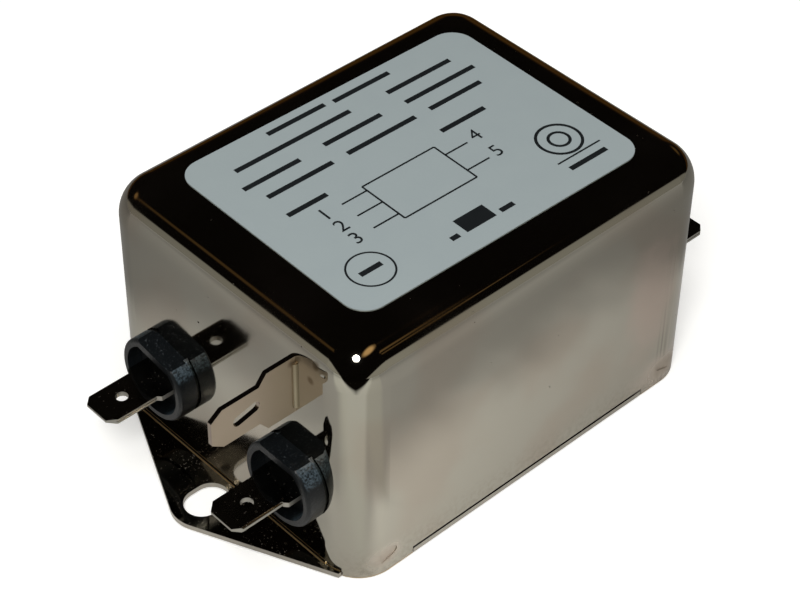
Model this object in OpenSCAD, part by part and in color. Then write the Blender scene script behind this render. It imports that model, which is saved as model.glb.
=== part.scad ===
// EMI line filter: a drawn, nickel-plated can closed by a slotted base plate, with two quick-connect
// blades in moulded bushes at each end and an upright earth tab at the line end.
// Inside are a two-winding choke, two X capacitors, two Y capacitors and a bleed resistor.
// The origin is midway between the mounting slots, on the underside of the base plate.
// +X runs from the line end to the load end and +Z is up. Millimetres.

/* [Case] */
// Length of the drawn can, along X
case_l = 66; // [65:0.5:70]
// Width of the can, along Y
case_w = 51.2; // [50.4:0.4:56]
// Height of the can's top over the underside of the base plate
case_h = 40.25; // [40:0.25:46]
// Outer radius of the can's upright corners and of its top edge
case_r = 6; // [4:0.5:6.5]
// Sheet thickness of the can
case_t = 0.6; // [0.5:0.1:0.8]
// Half the length of the notch in each long wall, where the plate's edge comes through
notch_half = 22.6; // [18:0.2:23]
// Height of that notch
notch_h = 1.1; // [0.9:0.1:1.6]

/* [Base plate] */
// Sheet thickness of the base plate
plate_t = 0.8; // [0.6:0.1:0.9]
// Distance between the centres of the two mounting slots
slot_spacing = 75; // [74.5:0.5:76]
// Width of a mounting slot
slot_w = 5.3; // [4.3:0.1:5.5]
// End-to-end length of a mounting slot
slot_l = 6.8; // [6:0.1:7]
// Distance from the end wall to the point where an ear's straight edges would meet
ear_reach = 10.2; // [10:0.1:12]
// Half the width of an ear where it leaves the can
ear_half = 22.2; // [20:0.2:22.4]
// Radius of an ear's rounded point
ear_r = 5; // [4:0.5:7]

/* [Terminals] */
// Distance between the two terminals at one end
term_spacing = 26.4; // [24:0.2:27]
// How far the pair sits from the can's centre line, along Y
term_shift = -0.6; // [-1:0.1:1]
// Height of the middle of the blades
term_z = 13.6; // [13:0.1:15]
// Width of a quick-connect blade
blade_w = 6.35; // [4.75:0.05:6.35]
// Thickness of a blade
blade_t = 0.8; // [0.5:0.1:0.8]
// How far a line blade stands out of the end wall
line_reach = 12.6; // [11:0.1:14]
// How far a load blade stands out of the end wall
load_reach = 11.6; // [11:0.1:14]
// Width of the blade's root, in the bush
root_w = 7.4; // [6.8:0.1:8]

/* [Bushes] */
// Outer radius of a bush
bush_r = 6.4; // [6:0.1:7]
// Distance from the bush's centre to the flat on its top
bush_flat = 5.3; // [5.2:0.1:5.8]
// How far a bush stands out of the end wall
bush_out = 3.2; // [2.8:0.1:4]
// Thickness of the cup's rim
rim_t = 1.1; // [0.8:0.1:1.4]
// Depth of the cup
cup_depth = 2.4; // [1.5:0.1:2.4]
// Turn of the first line bush in its round hole, in degrees
bush_turn = 9; // [0:1:12]

/* [Earth tab] */
// Y of the tab's outer face
tab_y = -14.3; // [-16:0.1:-10]
// Height of the tab's middle
tab_z = 30.4; // [29:0.1:31]
// Length of the tab out of the end wall
tab_l = 13.6; // [12:0.1:15]
// Width of the tab's front part
tab_w = 6.35; // [6.3:0.05:7.5]
// Width of the tab's root
tab_root_w = 9.6; // [8:0.1:9.6]
// Sheet thickness of the tab
tab_t = 0.7; // [0.6:0.1:1]

/* [Label] */
// Length of the label, along X
label_l = 50.9; // [46:0.1:52]
// Width of the label, along Y
label_w = 38; // [34:0.1:38.4]
// Radius of the label's corners
label_r = 3.5; // [2:0.1:5]
// Thickness of the label
label_t = 0.15; // [0.1:0.05:0.3]
// Turn of the label on the top, in degrees
label_turn = -0.87; // [-1:0.01:1]

/* [Choke] */
// Radius of the ring's centre line
ring_r = 13; // [12.5:0.1:13]
// Width of the core's section, along a radius
core_w = 7.4; // [6:0.1:7.4]
// Height of the core's section
core_h = 9.4; // [8:0.1:9.4]
// Wall of the plastic case round the core
core_case_t = 0.7; // [0.5:0.1:0.7]
// Diameter of the winding wire
wire_d = 1.4; // [1:0.1:1.4]
// Turns in each winding
turns = 11; // [8:1:11]

/* [Hidden] */
$fn = 96;

line_end = -1;
load_end = 1;
gap = 0.1;             // fitting gap between the plate and the can's corner feet
notch_ramp_line = 14;  // length over which the notch rises, from its line end
notch_ramp_load = 4;   // and from its load end
flare = 0.3;           // burr turned outwards along the foot of each end wall
stake_l = 3.8;         // punch marks that press the long walls onto the plate
stake_w = 1.5;
stake_depth = 0.15;
stake_tilt = 18;
stake_x = 27.4;
stake_z = 3;
past = 1;              // how far a cutting solid runs past the face that it cuts

inner_l = case_l - 2 * case_t;
inner_w = case_w - 2 * case_t;
inner_h = case_h - case_t;
inner_r = case_r - case_t;
wall_x = case_l / 2;
inner_x = wall_x - case_t;

ear_slope = atan(ear_reach / ear_half);             // lean of an ear's edge from the Y axis
ear_centre = wall_x + ear_reach - ear_r / cos(ear_slope);

neck_r = 5;            // bush where it goes through the wall
lip_r = 5.5;           // snap lip behind the wall
lip_l = 1.8;
lip_flat = 0.2;
boss_l = 3.8;          // bush behind the wall, from the wall's outer face
bush_edge_r = 0.5;     // rounding of the rim's outer edge
foot_h = 0.35;         // relieved foot that leaves a groove along the wall
foot_step = 0.3;

tip_l = 1.25;          // blade's corner cut, along its length
tip_w = 1.11;          // and across it
tip_bevel_l = 1;       // wedge at the blade's tip
tip_bevel_t = 0.2;
shoulder_z = 4.75;     // where the blade's root narrows
shoulder_l = 0.5;
blade_hole_z = 8.25;
blade_hole_d = 1.8;
tail_w = 5;            // soldering tail inside the can
tail_l = 7.5;
seam_depth = 0.25;     // groove where the doubled sheet's edges meet
seam_w = 0.14;

tab_shoulder = 4.6;    // where the tab's root narrows
tab_shoulder_l = 1.3;
tab_tip_l = 1.8;
tab_tip_w = 1.3;
tab_slot_x = 8;        // the tab's slanted wire slot
tab_slot_l = 4.4;
tab_slot_w = 1.7;
tab_slot_tilt = -13;
foot_l = 9;            // welded foot inside the end wall
foot_w = 7.4;
bead_r = 0.5;          // solder bead along the tab's root
bead_w = 7.6;

liner_t = 0.4;
liner_gap = 1;
section_r = 2;         // corner radius of the core case's section
divider_t = 1.2;
winding_gap = 0.12;    // between the core case and the wire
winding_span = 150;    // degrees of the ring that one winding covers
steps = 16;            // points on each turn
winding_start = 50;    // place on the section where a winding begins, in degrees
case_section_w = core_w + 2 * core_case_t;
case_section_h = core_h + 2 * core_case_t;
turn_w = case_section_w / 2 + wire_d / 2 + winding_gap;
turn_h = case_section_h / 2 + wire_d / 2 + winding_gap;
choke_z = plate_t + liner_t + turn_h + wire_d / 2;
tail_x = wall_x - tail_l;
lead_z = term_z + blade_t / 2 + wire_d / 2;

potting_z = 26;        // level of the potting compound
xcap_l = 10;
xcap_w = 26;
xcap_h = 18;
xcap_r = 0.8;
xcap_x = 12;
xcap_z = 20;
xcap_pitch = 22.5;
thin_d = 0.8;          // lead wire of the small components
ycap_d = 8.5;
ycap_t = 4;
ycap_x = 24;
ycap_y = 6.5;
ycap_z = 27.5;
resistor_d = 3.4;
resistor_l = 9;
resistor_x = -22;
resistor_z = 22;

metal = "#8f8b80";
dark_metal = "#4a463d";
moulded_black = "#141618";
amber = "#b07a2c";
copper = "#a5572a";

// ---- Shared forms ----

function term_y(side) = term_shift + side * term_spacing / 2;

function unit(v) = v / norm(v);

// Rectangle with four rounded corners
module rounded_rect(l, w, r) {
    square([l - 2 * r, w], center = true);
    square([l, w - 2 * r], center = true);
    for (sx = [-1, 1], sy = [-1, 1])
        translate([sx * (l / 2 - r), sy * (w / 2 - r)])
            circle(r);
}

// Quarter of a disc in the first quadrant
module quarter_disc(r) {
    intersection() {
        circle(r);
        square(r);
    }
}

// Slot with round ends, along X
module round_slot(l, w) {
    square([l - w, w], center = true);
    for (s = [-1, 1])
        translate([s * (l - w) / 2, 0])
            circle(w / 2);
}

// Solid can: upright walls, with one radius round its four corners and its top edge
module can_body(l, w, h, r) {
    straight_l = l - 2 * r;
    straight_w = w - 2 * r;
    linear_extrude(h - r)
        rounded_rect(l, w, r);
    translate([0, 0, h - r]) {
        linear_extrude(r)
            square([straight_l, straight_w], center = true);
        for (s = [-1, 1]) {
            translate([s * straight_l / 2, 0, 0])
                rotate([90, 0, 90 - 90 * s])
                    linear_extrude(straight_w, center = true)
                        quarter_disc(r);
            translate([0, s * straight_w / 2, 0])
                rotate([90, 0, 90 * s])
                    linear_extrude(straight_l, center = true)
                        quarter_disc(r);
            for (a = [0, 90])
                rotate([0, 0, 180 * (s + 1) / 2])
                    translate([(a == 0 ? 1 : -1) * straight_l / 2, straight_w / 2, 0])
                        rotate([0, 0, a])
                            rotate_extrude(angle = 90)
                                quarter_disc(r);
        }
    }
}

// Puts a part whose axis is +Z and whose top is +Y on an end wall, pointing outwards
module at_terminal(end, side) {
    translate([end * wall_x, term_y(side), term_z])
        rotate([90, 0, 90 * end])
            children();
}

// ---- Wire: a tube swept along points, its section carried on without twist ----

// Directions of a path at its points
function tangents(p) = [
    for (i = [0 : len(p) - 1])
        unit(p[min(i + 1, len(p) - 1)] - p[max(i - 1, 0)])
];

// One sideways vector at each point, each the last one turned square to the new direction
function sideways(t) = [
    for (
        i = 0, n = unit(cross(t[0], abs(t[0].z) < 0.9 ? [0, 0, 1] : [1, 0, 0]));
        i < len(t);
        i = i + 1, n = i < len(t) ? unit(n - (n * t[i]) * t[i]) : n
    ) n
];

// Tube of diameter d along the points p, with the given number of sides
module tube(p, d, sides = 6) {
    t = tangents(p);
    n = sideways(t);
    rings = [
        for (i = [0 : len(p) - 1], k = [0 : sides - 1])
            let (a = 360 * k / sides)
                p[i] + d / 2 * (cos(a) * n[i] + sin(a) * cross(t[i], n[i]))
    ];
    last = sides * (len(p) - 1);
    faces = concat(
        [[for (k = [0 : sides - 1]) k]],
        [[for (k = [sides - 1 : -1 : 0]) last + k]],
        [
            for (i = [0 : len(p) - 2], k = [0 : sides - 1])
                let (a = i * sides + k, b = i * sides + (k + 1) % sides)
                    [a, a + sides, b + sides, b]
        ]
    );
    polyhedron(rings, faces, convexity = 10);
}

// Points on a cubic curve from a to b, leaving along u and arriving along v
function curve(a, u, b, v, n) = [
    for (i = [0 : n - 1])
        let (s = i / n, c = a + u, d = b - v)
            (1 - s) ^ 3 * a + 3 * (1 - s) ^ 2 * s * c + 3 * (1 - s) * s ^ 2 * d + s ^ 3 * b
];

// A path's points with each corner cut into a short curve of reach r
function bent(p, r) = concat(
    [p[0]],
    [
        for (i = [1 : len(p) - 2], s = [0 : 0.25 : 1])
            let (
                a = p[i] + r * unit(p[i - 1] - p[i]),
                b = p[i] + r * unit(p[i + 1] - p[i])
            )
                (1 - s) ^ 2 * a + 2 * s * (1 - s) * p[i] + s ^ 2 * b
    ],
    [p[len(p) - 1]]
);

// ---- Case and base plate ----

// Notch through both long walls, flush with the plate at its ends and rising a little between
module plate_notch() {
    rotate([90, 0, 0])
        linear_extrude(2 * case_w, center = true)
            polygon([
                [-notch_half, -past],
                [notch_half, -past],
                [notch_half, plate_t],
                [notch_half - notch_ramp_load, notch_h],
                [notch_ramp_line - notch_half, notch_h],
                [-notch_half, plate_t]
            ]);
}

// Burr along the foot of an end wall, on the plate
module foot_burr(end) {
    translate([end * wall_x, 0, plate_t])
        rotate([90, 0, 0])
            linear_extrude(case_w - 2 * case_r, center = true)
                polygon([
                    [-end * case_t / 2, 0],
                    [end * flare, 0],
                    [0, flare],
                    [-end * case_t / 2, flare]
                ]);
}

// Shallow oval punch marks in the long walls, near the corner feet
module stake_marks() {
    for (s = [-1, 1], side = [-1, 1])
        translate([s * stake_x, side * case_w / 2, stake_z])
            rotate([90, 0, 0])
                linear_extrude(2 * stake_depth, center = true)
                    rotate(-s * stake_tilt)
                        round_slot(stake_l, stake_w);
}

// Drawn can: open below, notched for the plate, pierced for the bushes and the earth tab
module case() {
    color(metal)
        difference() {
            union() {
                can_body(case_l, case_w, case_h, case_r);
                for (end = [line_end, load_end])
                    foot_burr(end);
            }
            translate([0, 0, -past])
                can_body(inner_l, inner_w, inner_h + past, inner_r);
            plate_notch();
            stake_marks();
            translate([-case_l, -ear_half - gap, -past])
                cube([2 * case_l, 2 * (ear_half + gap), past + plate_t]);
            for (end = [line_end, load_end], side = [-1, 1])
                at_terminal(end, side)
                    translate([0, 0, -case_t - past])
                        cylinder(r = neck_r, h = case_t + 2 * past);
            translate([-wall_x - past, tab_y, tab_z - tab_root_w / 2])
                cube([case_t + 2 * past, tab_t, tab_root_w]);
        }
}

// Ear's outline: two straight edges that run into a rounded point
module ear_outline() {
    touch_x = ear_centre + ear_r * cos(ear_slope);
    touch_y = ear_r * sin(ear_slope);
    polygon([
        [inner_x - case_r, -ear_half],
        [wall_x, -ear_half],
        [touch_x, -touch_y],
        [touch_x, touch_y],
        [wall_x, ear_half],
        [inner_x - case_r, ear_half]
    ]);
    intersection() {
        translate([ear_centre, 0])
            circle(ear_r);
        translate([touch_x, -touch_y])
            square([ear_r, 2 * touch_y]);
    }
}

// Flat plate inside the can's corner feet, flush with its long sides, with a slotted ear each way
module base_plate() {
    color(dark_metal)
        linear_extrude(plate_t)
            difference() {
                union() {
                    rounded_rect(inner_l - 2 * gap, inner_w - 2 * gap, inner_r - gap);
                    square([2 * (notch_half - gap), case_w], center = true);
                    for (s = [0, 1])
                        mirror([s, 0])
                            ear_outline();
                }
                for (s = [-1, 1])
                    translate([s * slot_spacing / 2, 0])
                        round_slot(slot_l, slot_w);
            }
}

// Self-adhesive label on the can's flat top
module label() {
    color("#96a0a0")
        translate([0, term_shift / 2, case_h])
            rotate([0, 0, label_turn])
                linear_extrude(label_t)
                    rounded_rect(label_l, label_w, label_r);
}

// ---- Terminals ----

// Half section of a bush: radius along X, its axis along Y, the wall's outer face at y = 0
module bush_profile() {
    rim_z = bush_out - bush_edge_r;
    polygon([
        [0, -boss_l],
        [neck_r, -boss_l],
        [neck_r, -case_t - lip_l],
        [lip_r, -case_t - lip_flat],
        [lip_r, -case_t],
        [neck_r, -case_t],
        [neck_r, 0],
        [bush_r - foot_step, 0],
        [bush_r - foot_step, foot_h],
        [bush_r, foot_h],
        [bush_r, rim_z],
        [bush_r - bush_edge_r, rim_z],
        [bush_r - bush_edge_r, bush_out],
        [0, bush_out]
    ]);
    translate([bush_r - bush_edge_r, rim_z])
        circle(bush_edge_r);
}

// Moulded bush: a D-shaped cup round the blade, with a neck that snaps into the wall's hole
module bush(turn) {
    color(moulded_black)
        difference() {
            rotate([0, 0, turn])
                difference() {
                    rotate_extrude()
                        bush_profile();
                    translate([-2 * bush_r, bush_flat, -gap / 2])
                        cube([4 * bush_r, bush_r, bush_out + past]);
                    translate([0, 0, bush_out - cup_depth])
                        intersection() {
                            cylinder(r = bush_r - rim_t, h = bush_out);
                            translate([-bush_r, -bush_r, 0])
                                cube([2 * bush_r, bush_r + bush_flat - rim_t, bush_out]);
                        }
                }
            cube([root_w, blade_t, 4 * boss_l], center = true);
        }
}

// Section of the doubled sheet: folded along one edge, with a seam along the other
module folded_section() {
    difference() {
        union() {
            translate([-blade_w / 2 + blade_t / 2, -blade_t / 2])
                square([blade_w - blade_t / 2, blade_t]);
            translate([-blade_w / 2 + blade_t / 2, 0])
                circle(blade_t / 2);
        }
        polygon([
            [blade_w / 2 - seam_depth, 0],
            [blade_w / 2 + seam_depth, -seam_w],
            [blade_w / 2 + seam_depth, seam_w]
        ]);
    }
}

// Blade's plan, from its soldering tail to its cut corners
module blade_outline(reach) {
    half = blade_w / 2;
    polygon([
        [-tail_w / 2, -tail_l],
        [tail_w / 2, -tail_l],
        [tail_w / 2, -boss_l],
        [root_w / 2, -boss_l],
        [root_w / 2, shoulder_z - shoulder_l],
        [half, shoulder_z],
        [half, reach - tip_l],
        [half - tip_w, reach],
        [tip_w - half, reach],
        [-half, reach - tip_l],
        [-half, shoulder_z],
        [-root_w / 2, shoulder_z - shoulder_l],
        [-root_w / 2, -boss_l],
        [-tail_w / 2, -boss_l]
    ]);
}

// Blade's side view, with the wedge at its tip
module blade_side(reach) {
    half = blade_t / 2;
    polygon([
        [-half, -tail_l],
        [half, -tail_l],
        [half, reach - tip_bevel_l],
        [half - tip_bevel_t, reach],
        [tip_bevel_t - half, reach],
        [-half, reach - tip_bevel_l]
    ]);
}

// Quick-connect blade of doubled sheet; flip puts the seam on the other edge
module blade(reach, flip) {
    color(dark_metal)
        mirror([flip, 0, 0])
            difference() {
                intersection() {
                    rotate([90, 0, 0])
                        linear_extrude(blade_t, center = true)
                            blade_outline(reach);
                    rotate([90, 0, 90])
                        linear_extrude(2 * root_w, center = true)
                            blade_side(reach);
                    union() {
                        translate([0, 0, shoulder_z])
                            linear_extrude(reach)
                                folded_section();
                        translate([-root_w, -blade_t, -tail_l])
                            cube([2 * root_w, 2 * blade_t, tail_l + shoulder_z]);
                    }
                }
                translate([0, 0, blade_hole_z])
                    rotate([90, 0, 0])
                        cylinder(d = blade_hole_d, h = 4 * blade_t, center = true);
            }
}

// ---- Earth tab ----

// Tab's outline: distance out of the wall along X, height along Y
module tab_outline() {
    front = tab_w / 2;
    root = tab_root_w / 2;
    difference() {
        polygon([
            [-case_t, -root],
            [tab_shoulder, -root],
            [tab_shoulder + tab_shoulder_l, -front],
            [tab_l - tab_tip_l, -front],
            [tab_l, tab_tip_w - front],
            [tab_l, front - tab_tip_w],
            [tab_l - tab_tip_l, front],
            [tab_shoulder + tab_shoulder_l, front],
            [tab_shoulder, root],
            [-case_t, root]
        ]);
        translate([tab_slot_x, 0])
            rotate(tab_slot_tilt)
                round_slot(tab_slot_l, tab_slot_w);
    }
}

// Upright tab through a slit in the end wall, with its foot bent and welded inside
module earth_tab() {
    color("#7a6e5e") {
        translate([-wall_x, tab_y + tab_t, tab_z])
            mirror([1, 0, 0])
                rotate([90, 0, 0])
                    linear_extrude(tab_t)
                        tab_outline();
        translate([-inner_x, tab_y + tab_t, tab_z - tab_root_w / 2 + gap]) {
            linear_extrude(foot_w)
                rotate(-90)
                    quarter_disc(tab_t);
            cube([tab_t, foot_l, foot_w]);
        }
    }
}

// Solder bead between the tab and the wall
module earth_solder() {
    color("#d8d2c4")
        translate([-wall_x, tab_y, tab_z - bead_w / 2])
            linear_extrude(bead_w)
                rotate(180)
                    quarter_disc(bead_r);
}

// ---- Choke ----

// Insulating sheet on the base plate, under the choke
module insulating_liner() {
    color("#cfc7a8")
        translate([0, 0, plate_t])
            linear_extrude(liner_t)
                rounded_rect(inner_l - 2 * liner_gap, inner_w - 2 * liner_gap, inner_r);
}

// Ferrite ring
module choke_core() {
    color("#2b2b2e")
        translate([0, 0, choke_z])
            rotate_extrude()
                translate([ring_r, 0])
                    rounded_rect(core_w, core_h, section_r - core_case_t);
}

// Plastic case closed round the ring
module choke_core_case() {
    color("#3d4a57")
        translate([0, 0, choke_z])
            rotate_extrude()
                translate([ring_r, 0])
                    difference() {
                        rounded_rect(case_section_w, case_section_h, section_r);
                        rounded_rect(core_w, core_h, section_r - core_case_t);
                    }
}

// Plate across the ring's bore, between the two windings
module choke_divider() {
    bore = ring_r - case_section_w / 2;
    color("#e2dccb")
        translate([0, 0, choke_z])
            intersection() {
                cube([2 * bore, divider_t, case_section_h - 2 * section_r], center = true);
                cylinder(r = bore, h = case_section_h, center = true);
            }
}

// Point of a turn: angle on the ring, and angle round the core's section, which is a rounded square
function turn_point(ring_angle, section_angle) =
    let (
        c = cos(section_angle),
        s = sin(section_angle),
        r = ring_r + turn_w * sign(c) * abs(c) ^ 0.4
    )
        [
            r * cos(ring_angle),
            r * sin(ring_angle),
            choke_z + turn_h * sign(s) * abs(s) ^ 0.4
        ];

// Wire of one winding: from the line blade's tail, round its half of the ring, to the load blade's
function winding_path(side) =
    let (
        sweep = 360 * turns - winding_start,
        count = ceil(sweep * steps / 360),
        helix = [
            for (i = [0 : count])
                turn_point(
                    side * (90 + winding_span * (0.5 - i / count)),
                    winding_start + sweep * i / count
                )
        ],
        y = term_y(side),
        line_tail = [-tail_x - wire_d, y, lead_z],
        load_tail = [tail_x + wire_d, y, lead_z],
        first = helix[0],
        last = helix[count],
        inwards = unit([-first.x, -first.y, 0])
    )
        concat(
            [line_tail - [wire_d, 0, 0]],
            curve(line_tail, [4, 0, 0], first, 4 * inwards + [0, 0, 1], 8),
            helix,
            [for (p = curve(last, [0, 0, 3.5], load_tail, [3.5, 0, 0], 8)) if (p != last) p],
            [load_tail, load_tail + [wire_d, 0, 0]]
        );

module choke_winding(side) {
    color(copper)
        tube(winding_path(side), wire_d);
}

// ---- Capacitors and resistor ----

// Lead from a point down to the top of a blade's tail, offset across the tail
module lead(points, end, side, across) {
    foot = [
        end * (tail_x + thin_d),
        term_y(side) + across,
        term_z + blade_t / 2 + thin_d / 2
    ];
    tube(bent(concat(points, [foot + [0, 0, 2], foot, foot + [end * 2, 0, 0]]), thin_d), thin_d);
}

module x_capacitor_body(end) {
    translate([end * xcap_x, 0, xcap_z])
        linear_extrude(xcap_h)
            rounded_rect(xcap_l, xcap_w, xcap_r);
}

// Boxed film capacitor with its two leads
module x_capacitor(end) {
    color(amber)
        x_capacitor_body(end);
    color("silver")
        for (side = [-1, 1])
            lead(
                [
                    [end * xcap_x, side * xcap_pitch / 2, xcap_z + thin_d],
                    [end * xcap_x, side * xcap_pitch / 2, xcap_z - 2],
                    [end * (tail_x + thin_d), term_y(side) + side * 1.6, xcap_z - 2]
                ],
                end, side, side * 1.6
            );
}

module y_capacitor_body(side) {
    translate([ycap_x, side * ycap_y, ycap_z])
        rotate([0, 90, 0])
            cylinder(d = ycap_d, h = ycap_t, center = true);
}

// Disc capacitor from a load blade to the can
module y_capacitor(side) {
    out = [ycap_x, side * (ycap_y + 2), ycap_z - ycap_d / 2];
    color("#2f6fa8")
        y_capacitor_body(side);
    color("silver")
        lead(
            [out + [0, 0, 1], out - [0, 0, 2], [tail_x + thin_d, term_y(side) - side * 1.6, out.z - 4]],
            load_end, side, -side * 1.6
        );
}

// Bare wire that ties both disc capacitors to the can's load end
module earth_wire() {
    level = ycap_z - ycap_d / 2 - 1.5;
    touch = ycap_z - ycap_d / 2 + 0.35;    // where it meets the underside of a disc
    inner_y = ycap_y - 2;
    color("silver") {
        tube(
            bent(
                [
                    [ycap_x, -inner_y, touch],
                    [ycap_x, 1 - inner_y, level],
                    [ycap_x, inner_y - 1, level],
                    [ycap_x, inner_y, touch]
                ],
                thin_d
            ),
            thin_d
        );
        tube([[ycap_x, 0, level], [inner_x, 0, level]], thin_d);
    }
}

// Resistor across the line terminals
module bleed_resistor() {
    color("#7fa0a8")
        translate([resistor_x, 0, resistor_z])
            rotate([90, 0, 0])
                cylinder(d = resistor_d, h = resistor_l, center = true);
    color("silver")
        for (side = [-1, 1])
            lead(
                [
                    [resistor_x, side * (resistor_l / 2 - 1), resistor_z],
                    [resistor_x, side * (resistor_l / 2 + 3), resistor_z],
                    [-tail_x - thin_d, term_y(side) - side * 1.6, resistor_z - 3]
                ],
                line_end, side, -side * 1.6
            );
}

// Potting compound in the top of the can, round the parts that stand in it
module potting() {
    color("#26231f")
        difference() {
            can_body(inner_l, inner_w, inner_h, inner_r);
            translate([-case_l, -case_w, -past])
                cube([2 * case_l, 2 * case_w, potting_z + past]);
            for (end = [line_end, load_end])
                x_capacitor_body(end);
            for (side = [-1, 1])
                y_capacitor_body(side);
            earth_tab();
        }
}

case();
base_plate();
label();
at_terminal(line_end, 1) bush(-bush_turn);  // line_bush_1
at_terminal(line_end, -1) bush(0);  // line_bush_2
at_terminal(load_end, 1) bush(0);  // load_bush_1
at_terminal(load_end, -1) bush(0);  // load_bush_2
at_terminal(line_end, 1) blade(line_reach, 0);  // line_blade_1
at_terminal(line_end, -1) blade(line_reach, 1);  // line_blade_2
at_terminal(load_end, 1) blade(load_reach, 0);  // load_blade_1
at_terminal(load_end, -1) blade(load_reach, 1);  // load_blade_2
earth_tab();
earth_solder();
insulating_liner();
choke_core();
choke_core_case();
choke_divider();
choke_winding(1);  // choke_winding_1
choke_winding(-1);  // choke_winding_2
x_capacitor(line_end);  // x_capacitor_line
x_capacitor(load_end);  // x_capacitor_load
y_capacitor(1);  // y_capacitor_1
y_capacitor(-1);  // y_capacitor_2
bleed_resistor();
earth_wire();
potting();
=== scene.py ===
"""EMI line filter: finishes, label print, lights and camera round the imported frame.

Everything is in metres in the part's own frame: +X runs from the line end to the load end, +Z is up,
and the underside of the base plate is at z = 0.
"""

import math

import bpy
import numpy as np
from mathutils import Matrix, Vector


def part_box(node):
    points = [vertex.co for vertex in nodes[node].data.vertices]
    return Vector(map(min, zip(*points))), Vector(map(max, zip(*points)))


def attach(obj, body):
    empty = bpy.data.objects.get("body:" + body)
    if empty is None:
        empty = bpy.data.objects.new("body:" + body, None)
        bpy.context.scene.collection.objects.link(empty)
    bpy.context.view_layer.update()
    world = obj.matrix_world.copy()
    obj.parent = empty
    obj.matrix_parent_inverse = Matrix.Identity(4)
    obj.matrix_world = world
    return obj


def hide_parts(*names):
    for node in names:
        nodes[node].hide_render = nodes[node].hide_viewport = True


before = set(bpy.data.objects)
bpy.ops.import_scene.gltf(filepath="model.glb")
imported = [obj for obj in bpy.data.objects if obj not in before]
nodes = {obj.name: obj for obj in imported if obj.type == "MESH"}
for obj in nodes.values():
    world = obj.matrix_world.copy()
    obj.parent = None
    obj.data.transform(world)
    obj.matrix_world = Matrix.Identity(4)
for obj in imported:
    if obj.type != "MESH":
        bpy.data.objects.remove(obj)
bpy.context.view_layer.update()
MM = 0.001
HALF_L = 33 * MM  # half length and half width of the can
HALF_W = 25.6 * MM


# ---------------------------------------------------------------- small helpers
def linear(code):
    """An sRGB hex colour as linear RGBA."""
    parts = np.array([int(code[i : i + 2], 16) for i in (1, 3, 5)]) / 255
    values = np.where(parts <= 0.04045, parts / 12.92, ((parts + 0.055) / 1.055) ** 2.4)
    return (*(float(v) for v in values), 1.0)


def add(tree, kind, inputs=None, **settings):
    """Adds one shader node, sets its settings, and fills each input with a value or a link."""
    node = tree.nodes.new("ShaderNode" + kind)
    for name, value in settings.items():
        setattr(node, name, value)
    for name, value in (inputs or {}).items():
        if isinstance(value, bpy.types.NodeSocket):
            tree.links.new(value, node.inputs[name])
        else:
            node.inputs[name].default_value = value
    return node


def towards(azimuth, elevation):
    """Unit vector from an azimuth (from +X towards +Y) and an elevation, in degrees."""
    a, e = math.radians(azimuth), math.radians(elevation)
    return (math.cos(e) * math.cos(a), math.cos(e) * math.sin(a), math.sin(e))


def looking(place, aim, upward, roll=0.0):
    """Matrix of a thing at a place that looks at its aim.

    Its Z points back from the aim, its X lies across upward and Z, and both X and Y are then rolled
    about Z by an angle in degrees.
    """
    place = np.array(place, float)
    back = place - np.array(aim, float)
    back /= np.linalg.norm(back)
    right = np.cross(upward, back)
    right /= np.linalg.norm(right)
    angle = math.radians(roll)
    right = math.cos(angle) * right + math.sin(angle) * np.cross(back, right)
    turn = np.eye(4)
    turn[:3] = np.column_stack([right, np.cross(back, right), back, place])
    return Matrix(turn.tolist())


def start_material(name, **values):
    """A material with its Principled shader set to plain values; returns it with its tree and shader."""
    material = bpy.data.materials.new(name)
    material.use_nodes = True
    shader = material.node_tree.nodes["Principled BSDF"]
    for key, value in values.items():
        shader.inputs[key.replace("_", " ")].default_value = value
    return material, material.node_tree, shader


def tinted(material, share, tint):
    """Lays a tint over the finish so far, fully where its share is 1."""
    tree = material.node_tree
    socket = tree.nodes["Principled BSDF"].inputs["Base Color"]
    tone = add(tree, "Mix", {0: share, 6: socket.links[0].from_socket, 7: linear(tint)}, data_type="RGBA")
    tree.links.new(tone.outputs[2], socket)


def roughened(material, share, amount):
    """Adds an amount to the roughness of the finish so far, fully where its share is 1."""
    tree = material.node_tree
    socket = tree.nodes["Principled BSDF"].inputs["Roughness"]
    total = add(tree, "Math", {0: share, 1: amount, 2: socket.links[0].from_socket},
                operation="MULTIPLY_ADD", use_clamp=True)
    tree.links.new(total.outputs["Value"], socket)


def dress(material, *names):
    """Gives a material to every slot of the CAD nodes."""
    for name in names:
        for place in nodes[name].material_slots:
            place.material = material


def piece(name, points, faces, material, slot):
    """A mesh object at the origin, riding on the one body."""
    mesh = bpy.data.meshes.new(name)
    mesh.from_pydata(np.asarray(points, float).tolist(), [], faces)
    mesh.update()
    mesh.materials.append(material)
    thing = bpy.data.objects.new(name, mesh)
    bpy.context.scene.collection.objects.link(thing)
    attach(thing, "root")
    return thing


# ---------------------------------------------------------------- finishes
HAZE = 14 * MM  # blotches of haze on plated metal
SWELL = 18 * MM  # waves in drawn and stamped sheet
SWELL_DEPTH = 0.03 * MM
DIRT = 0.8 * MM  # dots of dirt, and the mottle of scuffs
DUST = 0.32 * MM  # dust on metal, and the drifts that it lies in
DRIFT = 5 * MM
NOTCH_HALF = 22.6 * MM  # half length of the notches that show the plate's edge
FOOT_HIGHLIGHT = 0.15 * MM  # height of the painted gold highlight along the can's foot
SEAM_SHADE = 0.42 * MM  # height of the painted shade in the seam, over the plate
SCUFF_TOP = 6 * MM  # where the scuffs fade out, and where they are full
SCUFF_FULL = 0.8 * MM


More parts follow.
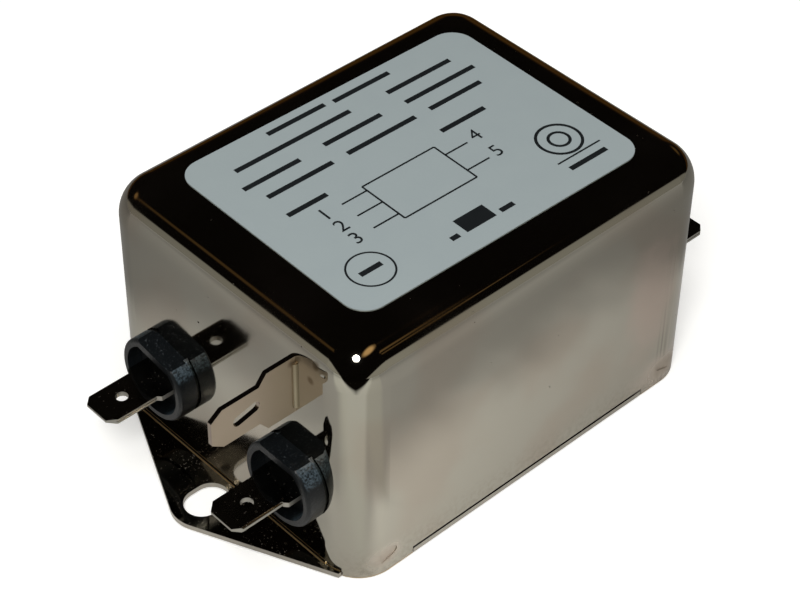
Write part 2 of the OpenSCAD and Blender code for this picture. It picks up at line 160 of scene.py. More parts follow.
def plated(name, tint, haze_tint, dull, dull_more, speck_from):
    """Bright plate or bare metal: a mirror with its own cast.

    Handling and forming leave it slightly wavy, hazed in blotches of 10 to 20 mm whose roughness goes
    from dull to dull_more, and dotted with dirt where the dirt's noise passes speck_from.
    """
    material, tree, shader = start_material(name, Metallic=1.0)
    place = add(tree, "TexCoord").outputs["Object"]
    blotch = add(tree, "TexNoise", {"Vector": place, "Scale": 1 / HAZE, "Detail": 2.0, "Roughness": 0.45})
    haze = add(tree, "MapRange", {"Value": blotch.outputs["Fac"], "From Min": 0.42, "From Max": 0.66},
               interpolation_type="SMOOTHSTEP").outputs["Result"]
    film = add(tree, "Mix", {0: haze, 6: linear(tint), 7: linear(haze_tint)}, data_type="RGBA")
    rough = add(tree, "MapRange", {"Value": haze, "To Min": dull, "To Max": dull_more})
    wave = add(tree, "TexNoise", {"Vector": place, "Scale": 1 / SWELL, "Detail": 1.0})
    waves = add(tree, "Bump", {"Height": wave.outputs["Fac"], "Distance": SWELL_DEPTH, "Strength": 1.0})
    tree.links.new(film.outputs[2], shader.inputs["Base Color"])
    tree.links.new(rough.outputs["Result"], shader.inputs["Roughness"])
    tree.links.new(waves.outputs["Normal"], shader.inputs["Normal"])
    dirt = add(tree, "TexNoise", {"Vector": place, "Scale": 1 / DIRT, "Detail": 1.0})
    speck = add(tree, "MapRange", {"Value": dirt.outputs["Fac"], "From Min": speck_from,
                                   "From Max": speck_from + 0.03}).outputs["Result"]
    tinted(material, speck, "#3A3328")
    roughened(material, speck, 1.0)
    return material


def sheared_edges(material, flat_axis, more_rough, tint):
    """A stamped blank lies across flat_axis; its sheared edges have their own tint and roughness."""
    tree = material.node_tree
    normal = add(tree, "SeparateXYZ", {"Vector": add(tree, "NewGeometry").outputs["Normal"]})
    facing = add(tree, "Math", {0: normal.outputs[flat_axis]}, operation="ABSOLUTE")
    edge = add(tree, "Math", {0: facing.outputs["Value"], 1: 0.5}, operation="LESS_THAN").outputs["Value"]
    tinted(material, edge, tint)
    roughened(material, edge, more_rough)


def dusted(material, dust_from):
    """Pale dust of 0.1 to 0.3 mm, drawn a little coarse, on what faces up.

    It lies in drifts, where the dust's noise passes dust_from.
    """
    tree = material.node_tree
    place = add(tree, "TexCoord").outputs["Object"]
    normal = add(tree, "SeparateXYZ", {"Vector": add(tree, "NewGeometry").outputs["Normal"]})
    up = add(tree, "MapRange", {"Value": normal.outputs["Z"], "From Min": 0.3, "From Max": 0.9})
    fine = add(tree, "TexNoise", {"Vector": place, "Scale": 1 / DUST, "Detail": 2.0})
    drift = add(tree, "TexNoise", {"Vector": place, "Scale": 1 / DRIFT, "Detail": 1.0})
    both = add(tree, "Math", {0: drift.outputs["Fac"], 1: 0.25, 2: fine.outputs["Fac"]},
               operation="MULTIPLY_ADD")
    grit = add(tree, "MapRange", {"Value": both.outputs["Value"], "From Min": dust_from,
                                  "From Max": dust_from + 0.06})
    dust = add(tree, "Math", {0: up.outputs["Result"], 1: grit.outputs["Result"]},
               operation="MULTIPLY").outputs["Value"]
    tinted(material, dust, "#A39E94")
    roughened(material, dust, 1.0)


def scuffed_foot(material):
    """The can's foot: a painted gold highlight along its edge, painted shade in the seam, and scuffed,
    stained long walls.

    The painted highlight runs all round, and along the end walls it shows over the plate too. The painted
    shade lies along the notches, just over the plate. The scuffs are on the long walls only.
    """
    tree = material.node_tree
    place = add(tree, "TexCoord").outputs["Object"]
    height = add(tree, "SeparateXYZ", {"Vector": place}).outputs["Z"]
    unsigned = add(tree, "VectorMath", {0: place}, operation="ABSOLUTE")
    sides = add(tree, "SeparateXYZ", {"Vector": unsigned.outputs["Vector"]})
    long_wall = add(tree, "MapRange", {"Value": sides.outputs["Y"], "From Min": 20 * MM, "From Max": 24 * MM})
    low = add(tree, "MapRange", {"Value": height, "From Min": SCUFF_TOP, "From Max": SCUFF_FULL,
                                 "To Max": long_wall.outputs["Result"]}).outputs["Result"]
    fine = add(tree, "TexNoise", {"Vector": place, "Scale": 1 / DIRT, "Detail": 3.0})
    mottle = add(tree, "MapRange", {"Value": fine.outputs["Fac"], "From Min": 0.42, "From Max": 0.70})
    scuff_and_glint = add(tree, "Math", {0: low, 1: mottle.outputs["Result"]}, operation="MULTIPLY").outputs["Value"]
    stain = add(tree, "Math", {0: scuff_and_glint, 1: 0.4}, operation="MULTIPLY").outputs["Value"]
    tinted(material, stain, "#8A8172")
    roughened(material, low, 0.10)
    roughened(material, scuff_and_glint, 0.15)
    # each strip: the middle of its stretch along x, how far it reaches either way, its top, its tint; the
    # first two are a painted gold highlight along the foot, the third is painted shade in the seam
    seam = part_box("base_plate")[1].z
    for middle, reach, top, tint in ((0.0, 2 * HALF_L, FOOT_HIGHLIGHT, "#C4B08C"),
                                     (HALF_L, 0.5 * MM, seam + FOOT_HIGHLIGHT, "#D8BC8C"),
                                     (0.0, NOTCH_HALF, seam + SEAM_SHADE, "#15110D")):
        along = add(tree, "Math", {0: sides.outputs["X"], 1: middle, 2: reach}, operation="COMPARE")
        under = add(tree, "Math", {0: height, 1: top}, operation="LESS_THAN")
        strip = add(tree, "Math", {0: under.outputs["Value"], 1: along.outputs["Value"]},
                    operation="MULTIPLY").outputs["Value"]
        tinted(material, strip, tint)
        roughened(material, strip, 0.35)


def draw_lines(material):
    """Fine upright lines that the die left where the long walls run into the load end's corners.

    They come from a noise of 0.55 mm drawn out upwards, in a band 2.2 mm either side of the turn.
    Their glints are painted in, as dark and pale streaks of reflection.
    """
    tree = material.node_tree
    place = add(tree, "TexCoord").outputs["Object"]
    parts = add(tree, "SeparateXYZ", {"Vector": place})
    off = add(tree, "Math", {0: parts.outputs["X"], 1: 26.6 * MM}, operation="SUBTRACT")
    near = add(tree, "Math", {0: off.outputs["Value"]}, operation="ABSOLUTE")
    band = add(tree, "MapRange", {"Value": near.outputs["Value"], "From Min": 2.2 * MM, "From Max": 0.3 * MM},
               interpolation_type="SMOOTHSTEP")
    wall = add(tree, "MapRange", {"Value": parts.outputs["Z"], "From Min": 30 * MM, "From Max": 22 * MM},
               interpolation_type="SMOOTHSTEP")
    stretched = add(tree, "VectorMath", {0: place, 1: (1.0, 1.0, 0.012)}, operation="MULTIPLY")
    streak = add(tree, "TexNoise", {"Vector": stretched.outputs["Vector"], "Scale": 1 / (0.55 * MM),
                                    "Detail": 2.0})
    where = add(tree, "Math", {0: wall.outputs["Result"], 1: band.outputs["Result"]}, operation="MULTIPLY")
    # dark and pale streaks: painted reflection along the die lines
    for low, high, tint, strength in ((0.47, 0.40, "#8C8478", 0.55), (0.54, 0.64, "#D6CCC0", 0.45)):
        line = add(tree, "MapRange", {"Value": streak.outputs["Fac"], "From Min": low, "From Max": high,
                                      "To Max": strength})
        shown = add(tree, "Math", {0: line.outputs["Result"], 1: where.outputs["Value"]},
                    operation="MULTIPLY")
        tinted(material, shown.outputs["Value"], tint)


def rubbed_patch(material, middle, size, tint, strength, more_rough=0.12, mirrored=False):
    """A rubbed patch with soft ragged edges: its middle, its half lengths in x, y and z, its colour.

    A mirrored one is at all four places that a change of sign in x and y gives.
    """
    tree = material.node_tree
    place = add(tree, "TexCoord").outputs["Object"]
    there = place
    if mirrored:
        there = add(tree, "VectorMath", {0: place}, operation="ABSOLUTE").outputs["Vector"]
    shift = add(tree, "VectorMath", {0: there, 1: middle}, operation="SUBTRACT")
    scaled = add(tree, "VectorMath", {0: shift.outputs["Vector"], 1: size}, operation="DIVIDE")
    reach = add(tree, "VectorMath", {0: scaled.outputs["Vector"]}, operation="LENGTH")
    rags = add(tree, "TexNoise", {"Vector": place, "Scale": 1 / (5 * MM), "Detail": 3.0})
    ragged = add(tree, "Math", {0: rags.outputs["Fac"], 1: 0.8, 2: reach.outputs["Value"]},
                 operation="MULTIPLY_ADD")
    inside = add(tree, "MapRange", {"Value": ragged.outputs["Value"], "From Min": 1.5, "From Max": 0.7,
                                    "To Max": strength}, interpolation_type="SMOOTHSTEP").outputs["Result"]
    tinted(material, inside, tint)
    roughened(material, inside, more_rough)


def plain_plastic(name, colour, shade, roughness, grain_mm, bump_mm):
    """A moulded, coated or cast surface: two close shades in soft blotches and a fine grain."""
    material, tree, shader = start_material(name, Roughness=roughness)
    place = add(tree, "TexCoord").outputs["Object"]
    blotch = add(tree, "TexNoise", {"Vector": place, "Scale": 1 / (4 * MM), "Detail": 3.0})
    tone = add(tree, "Mix", {0: blotch.outputs["Fac"], 6: linear(colour), 7: linear(shade)},
               data_type="RGBA")
    grain = add(tree, "TexNoise", {"Vector": place, "Scale": 1 / (grain_mm * MM), "Detail": 2.0})
    bump = add(tree, "Bump", {"Height": grain.outputs["Fac"], "Distance": bump_mm * MM})
    tree.links.new(tone.outputs[2], shader.inputs["Base Color"])
    tree.links.new(bump.outputs["Normal"], shader.inputs["Normal"])
    return material


def bush_plastic():
    """Black glass-filled nylon, injection moulded: half-matt, with pale dust on what faces up
    and a speckled, bluish painted highlight where the flat turns into the round.
    """
    material, tree, shader = start_material("moulded_nylon_black", IOR=1.45)
    place = add(tree, "TexCoord").outputs["Object"]
    base = add(tree, "TexNoise", {"Vector": place, "Scale": 1 / (3 * MM), "Detail": 2.0})
    black = add(tree, "Mix", {0: base.outputs["Fac"], 6: linear("#06090B"), 7: linear("#0C1013")},
                data_type="RGBA")
    rough = add(tree, "MapRange", {"Value": base.outputs["Fac"], "To Min": 0.3, "To Max": 0.42})
    fine = add(tree, "TexNoise", {"Vector": place, "Scale": 1 / (0.3 * MM), "Detail": 3.0})
    bump = add(tree, "Bump", {"Height": fine.outputs["Fac"], "Distance": 0.05 * MM})
    tree.links.new(black.outputs[2], shader.inputs["Base Color"])
    tree.links.new(rough.outputs["Result"], shader.inputs["Roughness"])
    tree.links.new(bump.outputs["Normal"], shader.inputs["Normal"])
    facing = add(tree, "SeparateXYZ", {"Vector": add(tree, "NewGeometry").outputs["Normal"]})
    up = add(tree, "MapRange", {"Value": facing.outputs["Z"], "From Min": 0.2, "From Max": 0.9})
    grit = add(tree, "MapRange", {"Value": fine.outputs["Fac"], "From Min": 0.60, "From Max": 0.80})
    dust = add(tree, "Math", {0: up.outputs["Result"], 1: grit.outputs["Result"]}, operation="MULTIPLY")
    tinted(material, dust.outputs["Value"], "#4A4F52")
    # |y| + z of the outward direction is largest, 1.41, halfway between straight up and straight sideways
    sideways = add(tree, "Math", {0: facing.outputs["Y"]}, operation="ABSOLUTE")
    ridge = add(tree, "Math", {0: sideways.outputs["Value"], 1: facing.outputs["Z"]}, operation="ADD")
    turn = add(tree, "MapRange", {"Value": ridge.outputs["Value"], "From Min": 1.32, "From Max": 1.41},
               interpolation_type="SMOOTHSTEP")
    # painted highlight: speckled bluish grey where the flat turns into the round
    scuff_and_glint = add(tree, "MapRange", {"Value": fine.outputs["Fac"], "From Min": 0.36, "From Max": 0.62,
                                   "To Max": 0.8})
    painted_glint = add(tree, "Math", {0: turn.outputs["Result"], 1: scuff_and_glint.outputs["Result"]},
                 operation="MULTIPLY")
    tinted(material, painted_glint.outputs["Value"], "#4C5A62")
    return material


nickel_can = plated("bright_nickel_on_drawn_steel", "#B8B4A8", "#B5ADA0", 0.05, 0.11, 0.80)
scuffed_foot(nickel_can)
draw_lines(nickel_can)
# rubs on the long wall by the load end, half way up and low down, and round the punch marks at the four feet
rubbed_patch(nickel_can, (22.6 * MM, -HALF_W, 19 * MM), (5.5 * MM, 20 * MM, 14 * MM), "#C8B7AB", 0.75)
rubbed_patch(nickel_can, (27 * MM, -HALF_W, 3 * MM), (8 * MM, 20 * MM, 4 * MM), "#D2C4B8", 0.6)
rubbed_patch(nickel_can, (27.4 * MM, HALF_W, 3 * MM), (3.4 * MM, 3 * MM, 2.4 * MM), "#CEC4B8", 1.0,
             more_rough=0.5, mirrored=True)
nickel_plate = plated("nickel_on_stamped_steel", "#9C978C", "#948E83", 0.05, 0.07, 0.74)
sheared_edges(nickel_plate, "Z", 0.10, "#B8B3A9")
dusted(nickel_plate, 0.80)
tin_blade = plated("bright_tin_on_brass", "#BDBAB2", "#B0AA9E", 0.07, 0.14, 0.74)
sheared_edges(tin_blade, "Z", 0.45, "#BDBAB2")
dusted(tin_blade, 0.84)
tin_tab = plated("tin_on_folded_brass", "#BDAE9C", "#B7A894", 0.42, 0.50, 0.80)
sheared_edges(tin_tab, "Y", -0.34, "#BBAC9E")
# flux stains: at the top of the tab's solder seam, and two on the wall beside it
tab_low, tab_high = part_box("earth_tab")
rubbed_patch(tin_tab, (-HALF_L - 0.4 * MM, tab_low.y, tab_high.z - 0.9 * MM),
             (1.0 * MM, 9 * MM, 0.9 * MM), "#4A331C", 0.5)
for y, z in ((-17.3, 33.1), (-18.1, 36.0)):
    rubbed_patch(nickel_can, (-HALF_L, y * MM, z * MM), (5 * MM, 0.75 * MM, 0.75 * MM), "#5A4325", 0.6)
solder_metal = plated("tin_lead_solder", "#A0957F", "#8A7C64", 0.3, 0.4, 0.8)
nylon_black = bush_plastic()
label_film = plain_plastic("printed_polyester_film", "#98A2A2", "#949E9F", 0.5, 0.5, 0.004)
label_ink = plain_plastic("black_label_ink", "#15181A", "#1C2022", 0.45, 0.5, 0.002)

dress(nickel_can, "case")
dress(nickel_plate, "base_plate")
dress(nylon_black, "line_bush_1", "line_bush_2", "load_bush_1", "load_bush_2")
dress(tin_blade, "line_blade_1", "line_blade_2", "load_blade_1", "load_blade_2")
dress(tin_tab, "earth_tab")
dress(solder_metal, "earth_solder")
dress(plain_plastic("fish_paper_liner", "#35322E", "#2C2A27", 0.85, 0.3, 0.02), "insulating_liner")
dress(plain_plastic("sintered_ferrite", "#2B2C2E", "#232426", 0.55, 0.2, 0.02), "choke_core")
dress(plain_plastic("moulded_core_case_white", "#D8D5CB", "#CFCBC0", 0.45, 0.4, 0.01), "choke_core_case")
dress(plain_plastic("punched_fibre_board", "#C9B98F", "#BDAA7E", 0.8, 0.3, 0.02), "choke_divider")
dress(plain_plastic("yellow_film_capacitor_box", "#D9B52B", "#D0AB22", 0.4, 0.5, 0.01),
      "x_capacitor_line", "x_capacitor_load")
dress(plain_plastic("dipped_epoxy_blue", "#2E5FA0", "#295693", 0.35, 1.0, 0.03),
      "y_capacitor_1", "y_capacitor_2")
dress(plain_plastic("dipped_resistor_coat", "#C7A878", "#BE9E6C", 0.45, 0.8, 0.02), "bleed_resistor")
dress(plain_plastic("cast_epoxy_potting", "#1D1C1A", "#242220", 0.4, 1.5, 0.03), "potting")
dress(plated("enamelled_copper_wire", "#C06A34", "#A95A2A", 0.2, 0.3, 0.8),
      "choke_winding_1", "choke_winding_2")
dress(plated("tinned_copper_wire", "#C9C7C0", "#BDBAB2", 0.2, 0.3, 0.8), "earth_wire")

# ---------------------------------------------------------------- label
label_low, label_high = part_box("label")
LABEL_L = 50.9 * MM
LABEL_W = 38.0 * MM
LABEL_R = 3.5 * MM
LABEL_TURN = math.radians(-0.87)
LABEL_CENTRE = np.array([(label_low.x + label_high.x) / 2, (label_low.y + label_high.y) / 2])
INK = 0.02 * MM  # thickness of the printed layer
label_top = label_high.z - INK


def on_label(points):
    """Turns label coordinates (u along its length, v across it, metres) to the part's x and y."""
    points = np.asarray(points, float)
    c, s = math.cos(LABEL_TURN), math.sin(LABEL_TURN)
    return points @ np.array([[c, s], [-s, c]]) + LABEL_CENTRE


def rounded_outline(length, width, radius, steps=12):
    """A rounded rectangle: four corner arcs, each a quarter of a circle in equal angles."""
    arc = np.linspace(0, math.pi / 2, steps)
    quarter = radius * np.stack([np.cos(arc), np.sin(arc)], 1)
    corners = []
    for turn, (sx, sy) in enumerate(((1, 1), (-1, 1), (-1, -1), (1, -1))):
        c, s = math.cos(turn * math.pi / 2), math.sin(turn * math.pi / 2)
        centre = np.array([sx * (length / 2 - radius), sy * (width / 2 - radius)])
        corners.append(quarter @ np.array([[c, s], [-s, c]]) + centre)
    return np.concatenate(corners)


def label_sheet():
    """The die-cut film: its outline at the can's top, and again at the film's own top."""
    outline = on_label(rounded_outline(LABEL_L, LABEL_W, LABEL_R))
    n = len(outline)
    points = np.concatenate([np.column_stack([outline, np.full(n, z)]) for z in (label_low.z, label_top)])
    faces = [list(range(n, 2 * n)), list(range(n))[::-1]]
    faces += [[i, (i + 1) % n, n + (i + 1) % n, n + i] for i in range(n)]
    return points, faces


sheet = piece("label_sheet", *label_sheet(), label_film, "printed_label")
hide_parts("label")


def bar(start, end, thick):
    """A printed stroke of even width from start to end, all in millimetres on the label."""
    start, end = np.array(start, float), np.array(end, float)
    along = (end - start) / np.linalg.norm(end - start)
    side = np.array([-along[1], along[0]]) * thick / 2
    return np.array([start - side, end - side, end + side, start + side]), [[0, 1, 2, 3]]


def ring(centre, radius, thick, steps=64):
    """A printed ring: two circles in equal angles, joined by quads."""
    angle = np.linspace(0, 2 * math.pi, steps, endpoint=False)
    unit = np.stack([np.cos(angle), np.sin(angle)], 1)
    inner = np.array(centre) + unit * (radius - thick / 2)
    outer = np.array(centre) + unit * (radius + thick / 2)
    faces = [[i, steps + i, steps + (i + 1) % steps, (i + 1) % steps] for i in range(steps)]
    return np.concatenate([inner, outer]), faces


def letters(text, left, foot, height):
    """Generic numbers from the built-in font, as a flat mesh, in millimetres on the label."""
    curve = bpy.data.curves.new("letters", "FONT")
    curve.body = text
    curve.resolution_u = 3
    holder = bpy.data.objects.new("letters", curve)
    bpy.context.scene.collection.objects.link(holder)
    mesh = bpy.data.meshes.new_from_object(holder.evaluated_get(bpy.context.evaluated_depsgraph_get()))
    flat = np.array([v.co[:2] for v in mesh.vertices])
    faces = [list(p.vertices) for p in mesh.polygons]
    bpy.data.objects.remove(holder)
    bpy.data.curves.remove(curve)
    bpy.data.meshes.remove(mesh)
    flat = (flat - flat.min(0)) * height / np.ptp(flat[:, 1]) + np.array([left, foot])
    return flat, faces


# heights and widths in the print, in millimetres
CAP = 2.3  # a printed number
STROKE = 0.28  # a printed line
MARK_STROKE = 0.45  # the line of the double ring
WORD = 0.85  # a plain bar that stands for a word
BLOCK = 2.9  # the block between the two short bars


def label_print():
    """All print as one flat mesh: block diagram, lead numbers, and plain bars and rings."""
    marks = []
    # rows of plain bars that stand for words: (left, right, middle height)
    rows = ((-10.9, -0.7, 17.2), (0.7, 10.9, 16.9), (-19.2, 1.0, 13.8), (7.6, 19.4, 13.5),
            (-20.8, -11.1, 10.1), (-6.6, 3.7, 10.4), (8.1, 21.0, 10.2),
            (-19.4, -8.1, 6.8), (-5.4, 6.9, 6.9), (9.6, 19.2, 6.9), (-19.8, -13.1, 2.2), (7.4, 15.5, 2.2))
    for left, right, middle in rows:
        marks.append(bar((left, middle), (right, middle), WORD))
    # block diagram: the box and its leads, each lead with its number
    box_l, box_r, box_b, box_t = -8.6, 4.3, -8.2, 0.3
    corners = ((box_l, box_b), (box_r, box_b), (box_r, box_t), (box_l, box_t))
    for i, corner in enumerate(corners):
        marks.append(bar(corner, corners[(i + 1) % len(corners)], STROKE))
    for height in (-0.7, -3.8, -7.0):
        marks.append(bar((-13.0, height), (box_l, height), STROKE))
    for height in (-1.95, -6.3):
        marks.append(bar((box_r, height), (8.4, height), STROKE))
    for text, left, foot in (("1", -16.2, -1.9), ("2", -16.6, -5.0), ("3", -16.6, -8.1),
                             ("4", 9.5, -2.5), ("5", 9.5, -6.9)):
        marks.append(letters(text, left, foot, CAP))
    # plain marks: a ring round a bar, a double ring over a line and a bar, a block between two bars
    marks.append(ring((-18.6, -12.8), 3.25, STROKE))
    marks.append(bar((-20.4, -12.8), (-16.8, -12.8), WORD))
    marks.append(ring((18.3, -9.6), 3.2, MARK_STROKE))
    marks.append(ring((18.3, -9.6), 1.5, MARK_STROKE))
    marks.append(bar((14.3, -13.4), (22.3, -13.4), STROKE))
    marks.append(bar((14.9, -15.2), (21.7, -15.2), WORD))
    marks.append(bar((-7.0, -15.3), (-5.6, -15.3), WORD))
    marks.append(bar((-4.4, -14.2), (0.8, -14.2), BLOCK))
    marks.append(bar((1.8, -15.3), (4.2, -15.3), WORD))
    points, faces, count = [], [], 0
    for flat, polygons in marks:
        points.append(flat)
        faces += [[i + count for i in polygon] for polygon in polygons]
        count += len(flat)
    flat = on_label(np.concatenate(points) * MM)
    return np.column_stack([flat, np.full(count, label_high.z)]), faces


ink = piece("label_print", *label_print(), label_ink, "printed_label")
layer = ink.modifiers.new("ink_layer", "SOLIDIFY")
layer.thickness = INK
layer.offset = -1.0

# ---------------------------------------------------------------- camera
# The camera looks down on the line end and a long side: where it aims, how far from there it stands, in
# which direction, and how far it is rolled. Angles are in degrees.
CAMERA_AIM = np.array([-4.55, -3.23, 20.0]) * MM
CAMERA_AWAY = 311.67 * MM
CAMERA_AZIMUTH = -133.391
CAMERA_ELEVATION = 42.168
CAMERA_ROLL = 0.879
camera_data = bpy.data.cameras.new("camera")
camera_data.lens = 101.3
camera_data.sensor_width = 36.0
camera_data.clip_start = 0.01
camera = bpy.data.objects.new("camera", camera_data)
camera_place = CAMERA_AIM + CAMERA_AWAY * np.array(towards(CAMERA_AZIMUTH, CAMERA_ELEVATION))
camera.matrix_world = looking(camera_place, CAMERA_AIM, (0.0, 0.0, 1.0), CAMERA_ROLL)
bpy.context.scene.collection.objects.link(camera)
bpy.context.scene.camera = camera

# ---------------------------------------------------------------- floor
FLOOR_HALF = 4.0
FLOOR_DROP = 0.0002
FAR_LIFT = 0.42  # what the paper gives off far out, to camera and glossy rays
CAMERA_LIFT = 0.32  # and everywhere, to camera rays alone


def paper_near_can(tree, place):
    """How bright plated metal mirrors the paper round the can, from 0 to 1.

    Painted light: light that the walls throw back is painted as a ragged band round them, about 9 mm
    wide at the line end and 15 mm at the load end and the far side, with an edge that is soft over 11 mm.
    In front of the line end it is painted duller towards the near corner. The paper beyond is about half
    as bright, and all of it fades towards the load end and the far side.
    """
    unsigned = add(tree, "VectorMath", {0: place}, operation="ABSOLUTE")
    flat = add(tree, "VectorMath", {0: unsigned.outputs["Vector"], 1: (HALF_L, HALF_W, 1.0)},
               operation="SUBTRACT")
    outside = add(tree, "VectorMath", {0: flat.outputs["Vector"], 1: (0.0, 0.0, 0.0)}, operation="MAXIMUM")
    away = add(tree, "VectorMath", {0: outside.outputs["Vector"]}, operation="LENGTH")
    parts = add(tree, "SeparateXYZ", {"Vector": place})
    sideways = add(tree, "Math", {0: parts.outputs["Y"], 1: 20 * MM}, operation="SUBTRACT")
    furthest = add(tree, "Math", {0: parts.outputs["X"], 1: sideways.outputs["Value"]}, operation="MAXIMUM")
    lean = add(tree, "MapRange", {"Value": furthest.outputs["Value"], "From Min": -10 * MM,
                                  "From Max": 45 * MM, "To Min": 2.9 * MM, "To Max": -3.4 * MM})
    crumple = add(tree, "TexNoise", {"Vector": place, "Scale": 1 / (16 * MM), "Detail": 2.0})
    ragged = add(tree, "MapRange", {"Value": crumple.outputs["Fac"], "To Min": -5 * MM, "To Max": 5 * MM})
    leaning = add(tree, "Math", {0: away.outputs["Value"], 1: lean.outputs["Result"]}, operation="ADD")
    reach = add(tree, "Math", {0: leaning.outputs["Value"], 1: ragged.outputs["Result"]}, operation="ADD")
    beyond = add(tree, "MapRange", {"Value": reach.outputs["Value"], "From Min": 12 * MM,
                                    "From Max": 23 * MM}, interpolation_type="SMOOTHSTEP")
    by_corner = add(tree, "MapRange", {"Value": parts.outputs["Y"], "From Min": -24 * MM,
                                       "From Max": 8 * MM, "To Min": 0.70, "To Max": 1.0},
                    interpolation_type="SMOOTHSTEP")
    close = add(tree, "MapRange", {"Value": parts.outputs["X"], "From Min": -34 * MM,
                                   "From Max": -26 * MM, "To Min": by_corner.outputs["Result"],
                                   "To Max": 1.0}, interpolation_type="SMOOTHSTEP")
    thrown = add(tree, "Mix", {0: beyond.outputs["Result"], 2: close.outputs["Result"], 3: 0.51})
    across = add(tree, "VectorMath", {0: place, 1: (1.0, 1.0, 0.0)}, operation="DOT_PRODUCT")
    fade = add(tree, "MapRange", {"Value": across.outputs["Value"], "From Min": -60 * MM,
                                  "From Max": 5 * MM, "To Min": 0.93, "To Max": 0.55})
    by_side = add(tree, "MapRange", {"Value": parts.outputs["Y"], "From Min": -15 * MM,
                                     "From Max": 25 * MM, "To Min": 1.0, "To Max": 0.94})
    faded = add(tree, "Math", {0: fade.outputs["Result"], 1: by_side.outputs["Result"]},
                operation="MULTIPLY")
    level = add(tree, "Math", {0: thrown.outputs[0], 1: faded.outputs["Value"]}, operation="MULTIPLY")
    return level.outputs["Value"]


def paper_floor():
    """Matt white paper, bright enough for the eye to see it white.

    Far out, where the lamps fall off, a little more is added, so that it stays as bright. Plated metal
    mirrors other paper, with painted light: light thrown back beside the walls and paler zones beyond
    the near corner; past them it is dark on that side and brown on the other.
    """
    material, tree, shader = start_material("matt_white_paper", Roughness=0.95)
    shader.inputs["Specular IOR Level"].default_value = 0.0
    place = add(tree, "TexCoord").outputs["Object"]
    grey = add(tree, "Mix", {0: paper_near_can(tree, place), 6: linear("#000000"), 7: linear("#F6F4EF")},
               data_type="RGBA").outputs[2]
    # three paler zones of painted light, then a dark zone and a brown one: direction, distance from the
    # middle, how fast the edge falls back to the sides, its softness, its colour
    for azimuth, near, slope, soft, colour in ((-118, 43 * MM, 1.6, 8 * MM, "#BDBCB5"),
                                               (-146, 50 * MM, 1.0, 11 * MM, "#D0D0C9"),
                                               (-140, 42 * MM, 1.9, 7 * MM, "#D2D2CC"),
                                               (-140, 88 * MM, 1.5, 18 * MM, "#0D0A07"),
                                               (43, 112 * MM, 0.4, 8 * MM, "#4A3213")):
        along = add(tree, "VectorMath", {0: place, 1: towards(azimuth, 0)}, operation="DOT_PRODUCT")
        beside = add(tree, "VectorMath", {0: place, 1: towards(azimuth + 90, 0)}, operation="DOT_PRODUCT")
        width = add(tree, "Math", {0: beside.outputs["Value"]}, operation="ABSOLUTE")
        past = add(tree, "Math", {0: width.outputs["Value"], 1: -slope, 2: along.outputs["Value"]},
                   operation="MULTIPLY_ADD")
        gone = add(tree, "MapRange", {"Value": past.outputs["Value"], "From Min": near - soft,
                                      "From Max": near + soft}, interpolation_type="SMOOTHSTEP")
        grey = add(tree, "Mix", {0: gone.outputs["Result"], 6: grey, 7: linear(colour)},
                   data_type="RGBA").outputs[2]
    rays = add(tree, "LightPath")
    seen = add(tree, "Mix", {0: rays.outputs["Is Glossy Ray"], 6: linear("#F6F5F2"), 7: grey},
               data_type="RGBA")
    distance = add(tree, "VectorMath", {0: place}, operation="LENGTH")
    far = add(tree, "MapRange", {"Value": distance.outputs["Value"], "From Min": 0.2, "From Max": 1.6,
                                 "To Max": FAR_LIFT}, interpolation_type="SMOOTHSTEP")
    either = add(tree, "Math", {0: rays.outputs["Is Glossy Ray"], 1: rays.outputs["Is Camera Ray"]},
                 operation="ADD")
    evened = add(tree, "Math", {0: either.outputs["Value"], 1: far.outputs["Result"]},
                 operation="MULTIPLY")
    lift = add(tree, "Math", {0: rays.outputs["Is Camera Ray"], 1: CAMERA_LIFT, 2: evened.outputs["Value"]},
               operation="MULTIPLY_ADD")
    tree.links.new(seen.outputs[2], shader.inputs["Base Color"])
    tree.links.new(seen.outputs[2], shader.inputs["Emission Color"])
    tree.links.new(lift.outputs["Value"], shader.inputs["Emission Strength"])
    return material


floor_mesh = bpy.data.meshes.new("floor")
floor_signs = ((-1, -1), (1, -1), (1, 1), (-1, 1))
floor_corners = [(FLOOR_HALF * x, FLOOR_HALF * y, -FLOOR_DROP) for x, y in floor_signs]
floor_mesh.from_pydata(floor_corners, [], [(0, 1, 2, 3)])
floor_mesh.materials.append(paper_floor())
floor = bpy.data.objects.new("floor", floor_mesh)
bpy.context.scene.collection.objects.link(floor)

# ---------------------------------------------------------------- surroundings
# soft warm lights in the room: azimuth, elevation, half width and half height in degrees, colour
ROOM_LIGHTS = ((-80, 60, 26, 9, "#E0B478"), (-54, 38, 5, 3, "#765C38"), (-53, 32, 5, 1.5, "#644E30"),
               (120, 26, 9, 7, "#8A6B42"), (137, 32, 9, 3.5, "#4A3820"), (8, 14, 12, 6, "#5E4826"),
               (43, -2, 26, 16, "#4A3213"))
# the paper's turned-up sides: azimuth, height of the crest and half width in degrees
TURNED_UP = ((-70, 17, 44), (148, 13, 38))


def lit_room(tree, ray):
    """The dark room with its soft lights, each an oval that fades from 0.35 of its size outwards."""
    room = linear("#0B0806")
    for azimuth, elevation, wide, tall, colour in ROOM_LIGHTS:
        centred = add(tree, "VectorMath", {0: ray, 1: towards(azimuth, elevation)}, operation="SUBTRACT")
        turned = add(tree, "Mapping", {"Vector": centred.outputs["Vector"],
                                       "Rotation": (0.0, -math.radians(elevation), math.radians(azimuth)),
                                       "Scale": (0.4, math.radians(wide), math.radians(tall))},
                     vector_type="TEXTURE")
        reach = add(tree, "VectorMath", {0: turned.outputs["Vector"]}, operation="LENGTH")
        glow = add(tree, "MapRange", {"Value": reach.outputs["Value"], "From Min": 1.0, "From Max": 0.35},
                   interpolation_type="SMOOTHSTEP")
        room = add(tree, "Mix", {0: glow.outputs["Result"], 6: room, 7: linear(colour)},
                   data_type="RGBA").outputs[2]
    return room


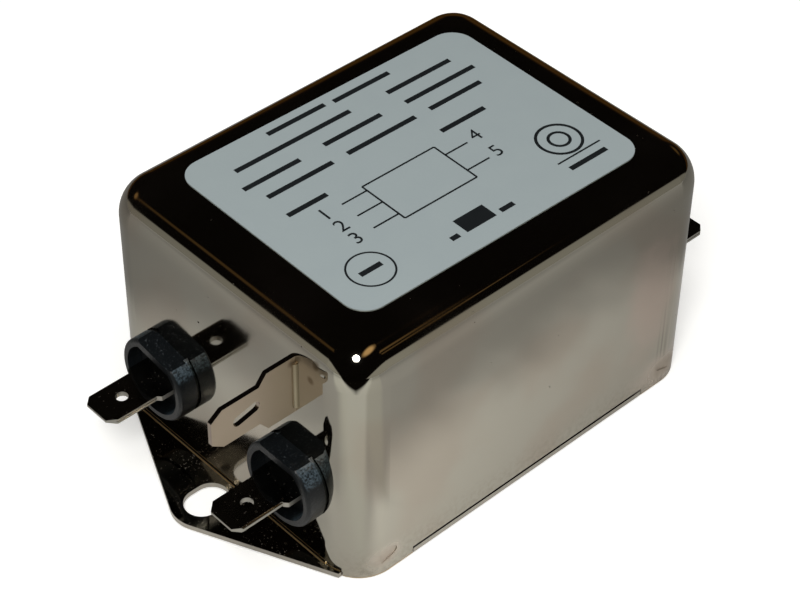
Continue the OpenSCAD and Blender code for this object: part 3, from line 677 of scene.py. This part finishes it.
def studio_world():
    """Pale all round for the eye; plated metal sees a dark room over the paper's two turned-up sides."""
    world = bpy.data.worlds.new("studio")
    world.use_nodes = True
    tree = world.node_tree
    tree.nodes.clear()
    ray = add(tree, "TexCoord").outputs["Generated"]
    height = add(tree, "SeparateXYZ", {"Vector": ray}).outputs["Z"]
    room = lit_room(tree, ray)
    across = add(tree, "VectorMath", {0: ray, 1: (1.0, 1.0, 0.0)}, operation="DOT_PRODUCT")
    fade = add(tree, "MapRange", {"Value": across.outputs["Value"], "From Min": -0.36, "From Max": -0.1,
                                  "To Min": 1.0, "To Max": 0.6})
    paper = add(tree, "Mix", {0: fade.outputs["Result"], 6: linear("#000000"), 7: linear("#A4A197")},
                data_type="RGBA").outputs[2]
    for azimuth, crest, wide in TURNED_UP:
        facing = add(tree, "VectorMath", {0: ray, 1: towards(azimuth, 0)}, operation="DOT_PRODUCT")
        start = math.cos(math.radians(wide))
        rise = math.sin(math.radians(crest)) / (math.cos(math.radians(crest)) - start)
        edge = add(tree, "Math", {0: facing.outputs["Value"], 1: rise, 2: -rise * start},
                   operation="MULTIPLY_ADD")
        under = add(tree, "Math", {0: edge.outputs["Value"], 1: height}, operation="SUBTRACT")
        side = add(tree, "MapRange", {"Value": under.outputs["Value"], "From Min": -0.03, "From Max": 0.03},
                   interpolation_type="SMOOTHSTEP")
        room = add(tree, "Mix", {0: side.outputs["Result"], 6: room, 7: paper}, data_type="RGBA").outputs[2]
    rays = add(tree, "LightPath")
    lit = add(tree, "Mix", {0: rays.outputs["Is Glossy Ray"], 6: linear("#A6A6A6"), 7: room},
              data_type="RGBA")
    shown = add(tree, "Mix", {0: rays.outputs["Is Camera Ray"], 6: lit.outputs[2], 7: linear("#FFFFFF")},
                data_type="RGBA")
    background = add(tree, "Background", {"Color": shown.outputs[2], "Strength": 1.0})
    add(tree, "OutputWorld", {"Surface": background.outputs["Background"]})
    return world


bpy.context.scene.world = studio_world()
bpy.context.scene.view_settings.view_transform = "Standard"


# ---------------------------------------------------------------- lamps
def lamp(name, place, aim, size, watts, mirrored):
    """A white round area lamp at a place, turned to its aim; a mirrored one is seen in the plated metal."""
    data = bpy.data.lights.new(name, "AREA")
    data.shape = "DISK"
    data.size = size
    data.energy = watts
    thing = bpy.data.objects.new(name, data)
    thing.matrix_world = looking(place, aim, (0.0, 1.0, 0.0))
    thing.visible_glossy = mirrored
    bpy.context.scene.collection.objects.link(thing)


CAN_MIDDLE = (0.0, 0.0, 0.02)
NEAR_TOP_CORNER = (-0.0298, -0.0225, 0.0387)
lamp("soft_overhead", (-0.2, -0.3, 1.1), CAN_MIDDLE, 1.2, 6.0, False)
lamp("flash", (-0.2028, -0.1625, 0.3088), NEAR_TOP_CORNER, 0.1, 0.6, True)
